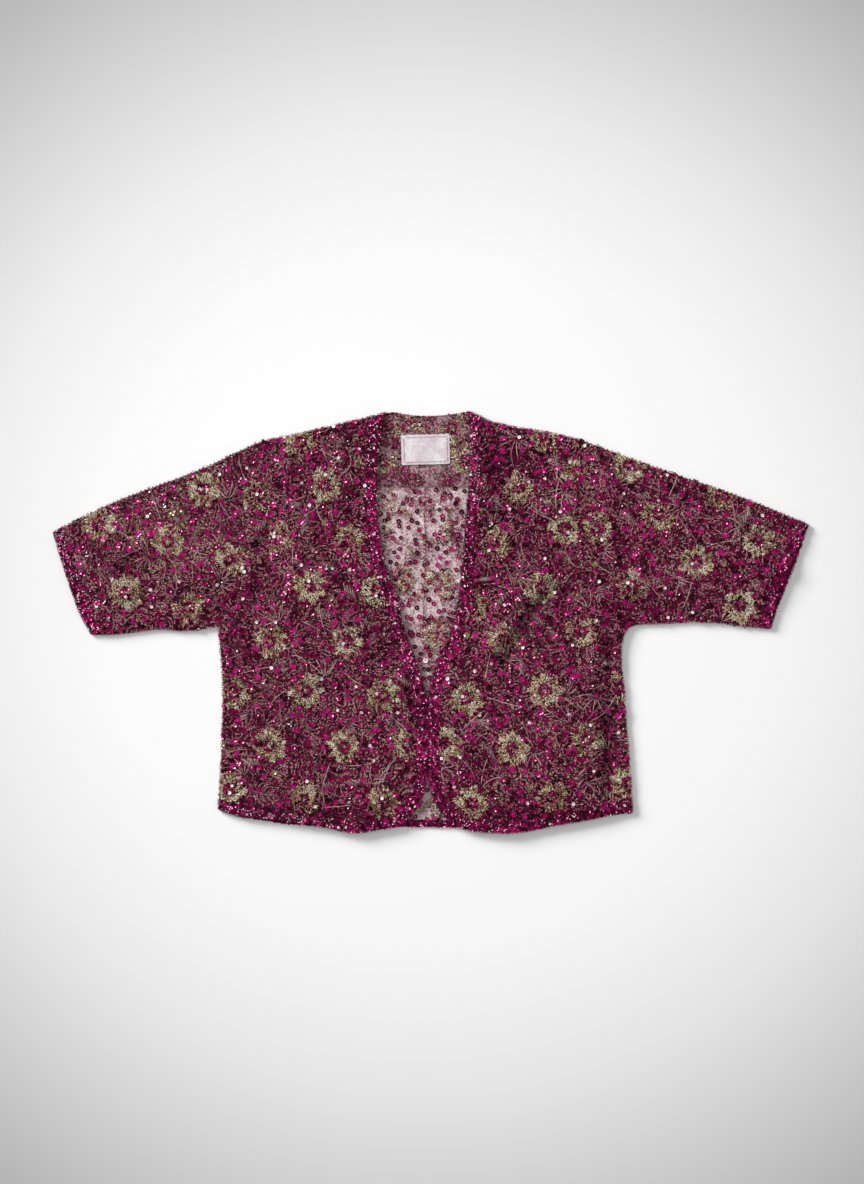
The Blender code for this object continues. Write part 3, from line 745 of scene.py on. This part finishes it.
# Fronts: two pieces of the same net on a wine georgette ground, wholly covered with beads, sequins and
# couched threads. They lie on the back, joined to it at the shoulders and sides, and carry the jacket's
# largest folds. The couched threads are bright rayon, which gives thin pale lines over the beads.
FRONT_ROSETTES = {
    "left": (
        (-209, -26), (-109, -26), (-256, -92), (-162, -90), (-62, -96), (-209, -160), (-114, -162),
        (-32, -160), (-263, -217), (-165, -231), (-62, -235), (-157, 47), (-107, 105), (-139, 178),
        (-170, 233), (-90, 222), (-70, 40), (-199, 109),
    ),
    "right": (
        (46, -99), (148, -88), (246, -86), (105, -165), (202, -152), (17, -156), (52, -235), (157, -229),
        (255, -208), (95, -21), (195, -12), (142, 44), (82, 101), (114, 174), (146, 242), (52, 21),
        (174, 121), (192, 195),
    ),
}
FRONT_CREASES = (
    Crease(62, 236, 72, 150, 12, 5.0), Crease(96, 226, 152, 182, 9, 4.0),
    Crease(128, 236, 176, 214, 7, 2.4), Crease(-125, 78, -40, -26, 7, -4.0),
    Crease(-139, 68, -54, -40, 7, 3.2), Crease(-104, 88, -70, 44, 6, 2.0),
    Crease(146, 56, 76, -38, 7, 5.0), Crease(160, 44, 94, -52, 6, -3.5),
    Crease(176, 60, 128, -20, 7, 2.4), Crease(214, -20, 216, -225, 9, 4.5),
    Crease(232, -30, 234, -215, 6, -3.0), Crease(244, 6, 250, -60, 6, 2.4),
    Crease(-262, 20, -240, -44, 8, 4.0), Crease(-224, 150, -222, 76, 7, 4.0),
    Crease(-122, 217, -104, 176, 8, 3.6), Crease(-270, -226, -212, -237, 7, 3.0),
    Crease(-146, -178, -134, -218, 8, 3.0), Crease(112, -108, 126, -152, 9, 3.4),
    Crease(-268, -116, -266, -178, 7, 3.0), Crease(200, 114, 206, 66, 7, 4.0),
    Crease(-196, 30, -150, -70, 9, 2.6), Crease(-96, -70, -64, -160, 9, 2.6),
    Crease(-40, -60, -30, -150, 6, 2.2), Crease(-206, -60, -196, -150, 9, 2.2),
    Crease(56, -120, 44, -206, 8, 2.4), Crease(30, -50, 22, -130, 6, 2.0),
    Crease(160, -120, 172, -216, 8, 2.6), Crease(116, 130, 150, 92, 8, 2.8),
    Crease(-176, 206, -128, 186, 8, 2.6), Crease(-160, 130, -176, 60, 7, 2.4),
)
FRONT_HELD = 2.5
FRONT_SEED = 41
RIM_SHARE = 0.5
LOOSE_SEQUIN = sequin_shape(4.4, 1.2, 0.35)
LOOSE_LIFT = 1.7
LOOSE_LEAN = 10
BERRY_PITCH = 15.6
THREAD_LIFT = 1.9
THREAD_RADIUS = 0.45
RAYON = {"Roughness": 0.38, "Sheen Weight": 0.4, "Anisotropic": 0.4}
rayon = [
    mottled("rayon_thread_rose", "#7a3c50", "#b0728a", 4.0, RAYON),
    mottled("rayon_thread_beige", "#a5857a", "#dcc0ae", 4.0, RAYON),
]

# Each rosette has a comb of level strands and a fan of spreading ones beside it, and stems that run out
# from it.
Strands = namedtuple("Strands", "opening eye pitch longer bend points")
COMB = Strands(opening=0.0, eye=0.0, pitch=2.8, longer=1.0, bend=0.0, points=4)
FAN = Strands(opening=0.5, eye=3.0, pitch=0.0, longer=1.4, bend=0.5, points=6)
ROOT_DISTANCE = (27, 36)
SPINE_TURN = (0.9, 1.6)
STRAND_TURN = (0.6, 1.0)
STRAND_COUNT = (6, 9)
STRAND_REACH = (11, 18)
STRAND_SHARE = (0.8, 1.1)
STRAND_SWAY = 0.06
STRAND_BEND = 0.2
STEMS = 3
STEM_START = 25.0
STEM_REACH = (25, 50)
STEM_SWAY = 0.6
STEM_BEND = 0.8
STEM_POINTS = 8

# Angles in degrees at which a front's or a sleeve's CAD faces are joined, and its edges kept, before it is
# refined.
JOIN_ANGLE = 40
JOIN_SHAPE = 60
KEPT_EDGE = 45
REFINING = 2


def soft_form(node):
    """The form of a CAD piece, rounded and refined between its edges."""
    form = welded(node)
    bmesh.ops.join_triangles(
        form, faces=form.faces[:], angle_face_threshold=math.radians(JOIN_ANGLE),
        angle_shape_threshold=math.radians(JOIN_SHAPE),
    )
    creasing = form.edges.layers.float.new("crease_edge")
    for edge in form.edges:
        edge[creasing] = edge.calc_face_angle(0) > math.radians(KEPT_EDGE)
    mesh = bpy.data.meshes.new(node + "_form")
    form.to_mesh(mesh)
    form.clear()
    maker = bpy.data.objects.new(node + "_form", mesh)
    bpy.context.scene.collection.objects.link(maker)
    refine = maker.modifiers.new("refine", "SUBSURF")
    refine.levels = refine.render_levels = REFINING
    evaluated = maker.evaluated_get(bpy.context.evaluated_depsgraph_get())
    form.from_mesh(evaluated.to_mesh())
    bpy.data.objects.remove(maker)
    bpy.data.meshes.remove(mesh)
    return form


def curved_line(start, bearing, length, bend, count):
    """Points along an arc that starts in a bearing and turns by a bend over its length."""
    turns = bearing + bend * np.linspace(0, 1, count)[:-1]
    steps = np.column_stack([np.cos(turns), np.sin(turns)]) * length / (count - 1)
    return np.vstack([start, start + np.cumsum(steps, axis=0)])


def spray_lines(rosettes, chance):
    """Plan lines of the couched threads round each rosette."""
    lines = []
    for x, y in rosettes:
        middle = np.array([x, y])
        for kind in (COMB, FAN):
            bearing = chance.uniform(0, 2 * math.pi)
            root = middle + chance.uniform(*ROOT_DISTANCE) * towards(bearing)
            spine = bearing + chance.choice([-1, 1]) * chance.uniform(*SPINE_TURN)
            opening = spine + chance.choice([-1, 1]) * chance.uniform(*STRAND_TURN)
            reach = kind.longer * chance.uniform(*STRAND_REACH)
            for number in range(chance.integers(*STRAND_COUNT)):
                heading = opening + kind.opening * number + chance.normal(0, STRAND_SWAY)
                start = root + kind.eye * towards(heading) + kind.pitch * number * towards(spine)
                length = reach * chance.uniform(*STRAND_SHARE)
                bend = kind.bend + chance.normal(0, STRAND_BEND)
                lines.append(curved_line(start, heading, length, bend, kind.points))
        for _ in range(STEMS):
            bearing = chance.uniform(0, 2 * math.pi)
            start = middle + STEM_START * towards(bearing)
            heading = bearing + chance.normal(0, STEM_SWAY)
            length = chance.uniform(*STEM_REACH)
            lines.append(curved_line(start, heading, length, chance.normal(0, STEM_BEND), STEM_POINTS))
    return lines


def embroider(panel, cloth, rosettes, chance):
    """Beads, sequins and threads over all of an upper panel."""
    surface = tree_of(cloth.data)
    low, high = (np.array(corner[:2]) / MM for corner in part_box(panel))
    plan = bead_plan(low - PLAN_MARGIN, high + PLAN_MARGIN, rosettes, 1, 1, chance)
    edge = rim(cloth.data, RIM_SHARE, chance)
    beads = sewn_beads(panel, surface, plan, (), chance, edge)
    spots, tones = sequin_spots(low, high, rosettes, BERRY_PITCH, chance)
    sequins = sewn_sequins(
        panel, surface, LOOSE_SEQUIN, spots, tones, LOOSE_LIFT, LOOSE_LEAN, (), chance,
    )
    lines = spray_lines(rosettes, chance)
    tones = chance.integers(0, len(rayon), len(lines))
    threads = laid_threads(
        f"threads_{panel}", lines, surface, THREAD_LIFT, THREAD_RADIUS, tones, rayon,
    )
    return [beads, sequins, threads]


for side, width, length, area in (("left", 0.258, 0.530, 0.0945), ("right", 0.251, 0.528, 0.0925)):
    node = "front_" + side
    cloth = creased_cloth(node, soft_form(node), FRONT_CREASES, FRONT_HELD, georgette)
    chance = np.random.default_rng(FRONT_SEED + len(side))
    trims = embroider(node, cloth, FRONT_ROSETTES[side], chance)


# Sleeves: each one piece of the same cloth, folded along the top of the arm and seamed under it, so the
# laid sleeve is a flat tube with two soft folded edges.
SLEEVE_ROSETTES = {
    "left": ((-433, 127), (-342, 105), (-296, 172), (-261, 81), (-222, 164), (-396, 38), (-316, 18)),
    "right": ((216, 121), (295, 140), (344, 78), (261, 48), (425, 105), (257, 204), (376, 165), (402, 21)),
}
SLEEVE_CREASES = (
    Crease(-300, 22, -248, 2, 8, 3.6), Crease(-352, 62, -318, 54, 8, 3.5),
    Crease(-472, 113, -440, 98, 7, 3.5), Crease(-240, 176, -330, 140, 8, 2.8),
    Crease(-250, 100, -330, 84, 8, 2.6), Crease(-360, 110, -430, 70, 9, 2.8),
    Crease(-380, 40, -436, 18, 7, 2.6), Crease(-232, 120, -238, 50, 7, 3.6),
    Crease(-410, 124, -452, 60, 7, 2.4), Crease(248, 46, 352, 22, 9, 4.6),
    Crease(260, 24, 330, 8, 6, -2.6), Crease(236, 190, 320, 156, 8, 2.8),
    Crease(268, 84, 300, 52, 8, 3.0), Crease(320, 110, 420, 78, 9, 3.0),
    Crease(458, 112, 464, 66, 6, 3.6), Crease(380, 142, 436, 118, 8, 2.4),
    Crease(360, 40, 430, 20, 7, 2.6), Crease(226, 140, 240, 70, 7, 3.4),
)
SLEEVE_SEED = 51

for side, around, length, area in (("left", 0.470, 0.268, 0.0935), ("right", 0.462, 0.287, 0.0955)):
    node = "sleeve_" + side
    cloth = creased_cloth(node, soft_form(node), SLEEVE_CREASES, FRONT_HELD, georgette)
    chance = np.random.default_rng(SLEEVE_SEED + len(side))
    trims = embroider(node, cloth, SLEEVE_ROSETTES[side], chance)


# Bands: strips paved with magenta sequins that bind the neck edge, centre fronts and hem in one run, and
# the ends of the sleeves. They are sewn on last, over the embroidery, so they follow the folds of what they
# edge.
for side, front_seed, cuff_seed in (("left", 61, 71), ("right", 62, 72)):
    node = "front_band_" + side
    cloth, trims = sequinned_band(node, soft_form(node), FRONT_CREASES, FRONT_HELD, (), front_seed)
    node = "cuff_band_" + side
    cloth, trims = sequinned_band(node, soft_form(node), SLEEVE_CREASES, FRONT_HELD, (), cuff_seed)


# Table: a matt white laminate board. The light pools near the middle of the view and its corners fall to
# grey, which the board's own tone gives here, in steps of distance from the middle of the pool.
POOL_CENTRE = (19.0, 27.0)
BOARD_DROP = 0.3
BOARD_SPAN = 8.0
Shade = namedtuple("Shade", "distance grey")
BOARD_SHADES = (
    Shade(0, 0.92), Shade(300, 0.904), Shade(450, 0.877), Shade(560, 0.81), Shade(640, 0.755),
    Shade(760, 0.63), Shade(950, 0.43), Shade(1200, 0.33),
)
laminate = bpy.data.materials.new("white_laminate_board")
laminate.use_nodes = True
board_tree = laminate.node_tree
board_shader = board_tree.nodes["Principled BSDF"]
board_place = add_node(board_tree, "ShaderNodeTexCoord", {}).outputs["Object"]
away = add_node(board_tree, "ShaderNodeVectorMath", {0: board_place}, operation="LENGTH").outputs["Value"]
reach = BOARD_SHADES[-1].distance
share = add_node(board_tree, "ShaderNodeMath", {0: away, 1: reach * MM}, operation="DIVIDE").outputs[0]
greys = add_node(board_tree, "ShaderNodeValToRGB", {"Fac": share})
stops = greys.color_ramp.elements
while len(stops) < len(BOARD_SHADES):
    stops.new(0.5)
for stop, shade in zip(stops, BOARD_SHADES):
    stop.position = shade.distance / reach
    stop.color = [shade.grey] * 3 + [1.0]
board_tree.links.new(greys.outputs["Color"], board_shader.inputs["Base Color"])
board_shader.inputs["Roughness"].default_value = 0.85
board_shader.inputs["Specular IOR Level"].default_value = 0.15
pool = (POOL_CENTRE[0] * MM, POOL_CENTRE[1] * MM, -BOARD_DROP * MM)
bpy.ops.mesh.primitive_grid_add(x_subdivisions=2, y_subdivisions=2, size=BOARD_SPAN, location=pool)
table = bpy.context.object
table.name = "table_top"
table.data.materials.append(laminate)

# Studio light: a large softbox at the upper left throws soft shadows to the lower right. A ceiling panel
# and white walls fill the shade. They are kept out of the gloss, so that the plum glass stays deep.
VIEW_CENTRE = (1.3, 39.0)
WALL_LIGHT = 0.26
Lamp = namedtuple("Lamp", "place span energy glossy")
LAMPS = {"softbox": Lamp((-11.5, 8.62, 7.0), 6.4, 3400, True), "ceiling": Lamp((0, 0.04, 5), 5.0, 84, False)}
world = bpy.data.worlds.new("studio")
bpy.context.scene.world = world
world.use_nodes = True
world.node_tree.nodes["Background"].inputs["Color"].default_value = (1, 1, 1, 1)
world.node_tree.nodes["Background"].inputs["Strength"].default_value = WALL_LIGHT
world.cycles_visibility.glossy = False

middle = (VIEW_CENTRE[0] * MM, VIEW_CENTRE[1] * MM, -BOARD_DROP * MM)
for name, lamp in LAMPS.items():
    light = bpy.data.lights.new(name, "AREA")
    light.shape = "SQUARE"
    light.size = lamp.span
    light.energy = lamp.energy
    source = bpy.data.objects.new(name, light)
    source.location = lamp.place
    source.rotation_euler = (Vector(middle) - Vector(lamp.place)).to_track_quat("-Z", "Y").to_euler()
    source.visible_glossy = lamp.glossy
    source.visible_camera = False
    bpy.context.scene.collection.objects.link(source)

# Camera: straight above, as far off as an 85 mm lens needs to take in the photograph's frame.
VIEW_HEIGHT = 1539.0
LENS = 85.0
SENSOR = 36.0
CAMERA_RISE = 6.0
camera = bpy.data.objects.new("camera", bpy.data.cameras.new("camera"))
camera.data.lens = LENS
camera.data.sensor_width = SENSOR
camera_height = VIEW_HEIGHT * LENS / SENSOR + CAMERA_RISE
camera.location = (VIEW_CENTRE[0] * MM, VIEW_CENTRE[1] * MM, camera_height * MM)
bpy.context.scene.collection.objects.link(camera)
bpy.context.scene.camera = camera
bpy.context.scene.view_settings.view_transform = "Standard"
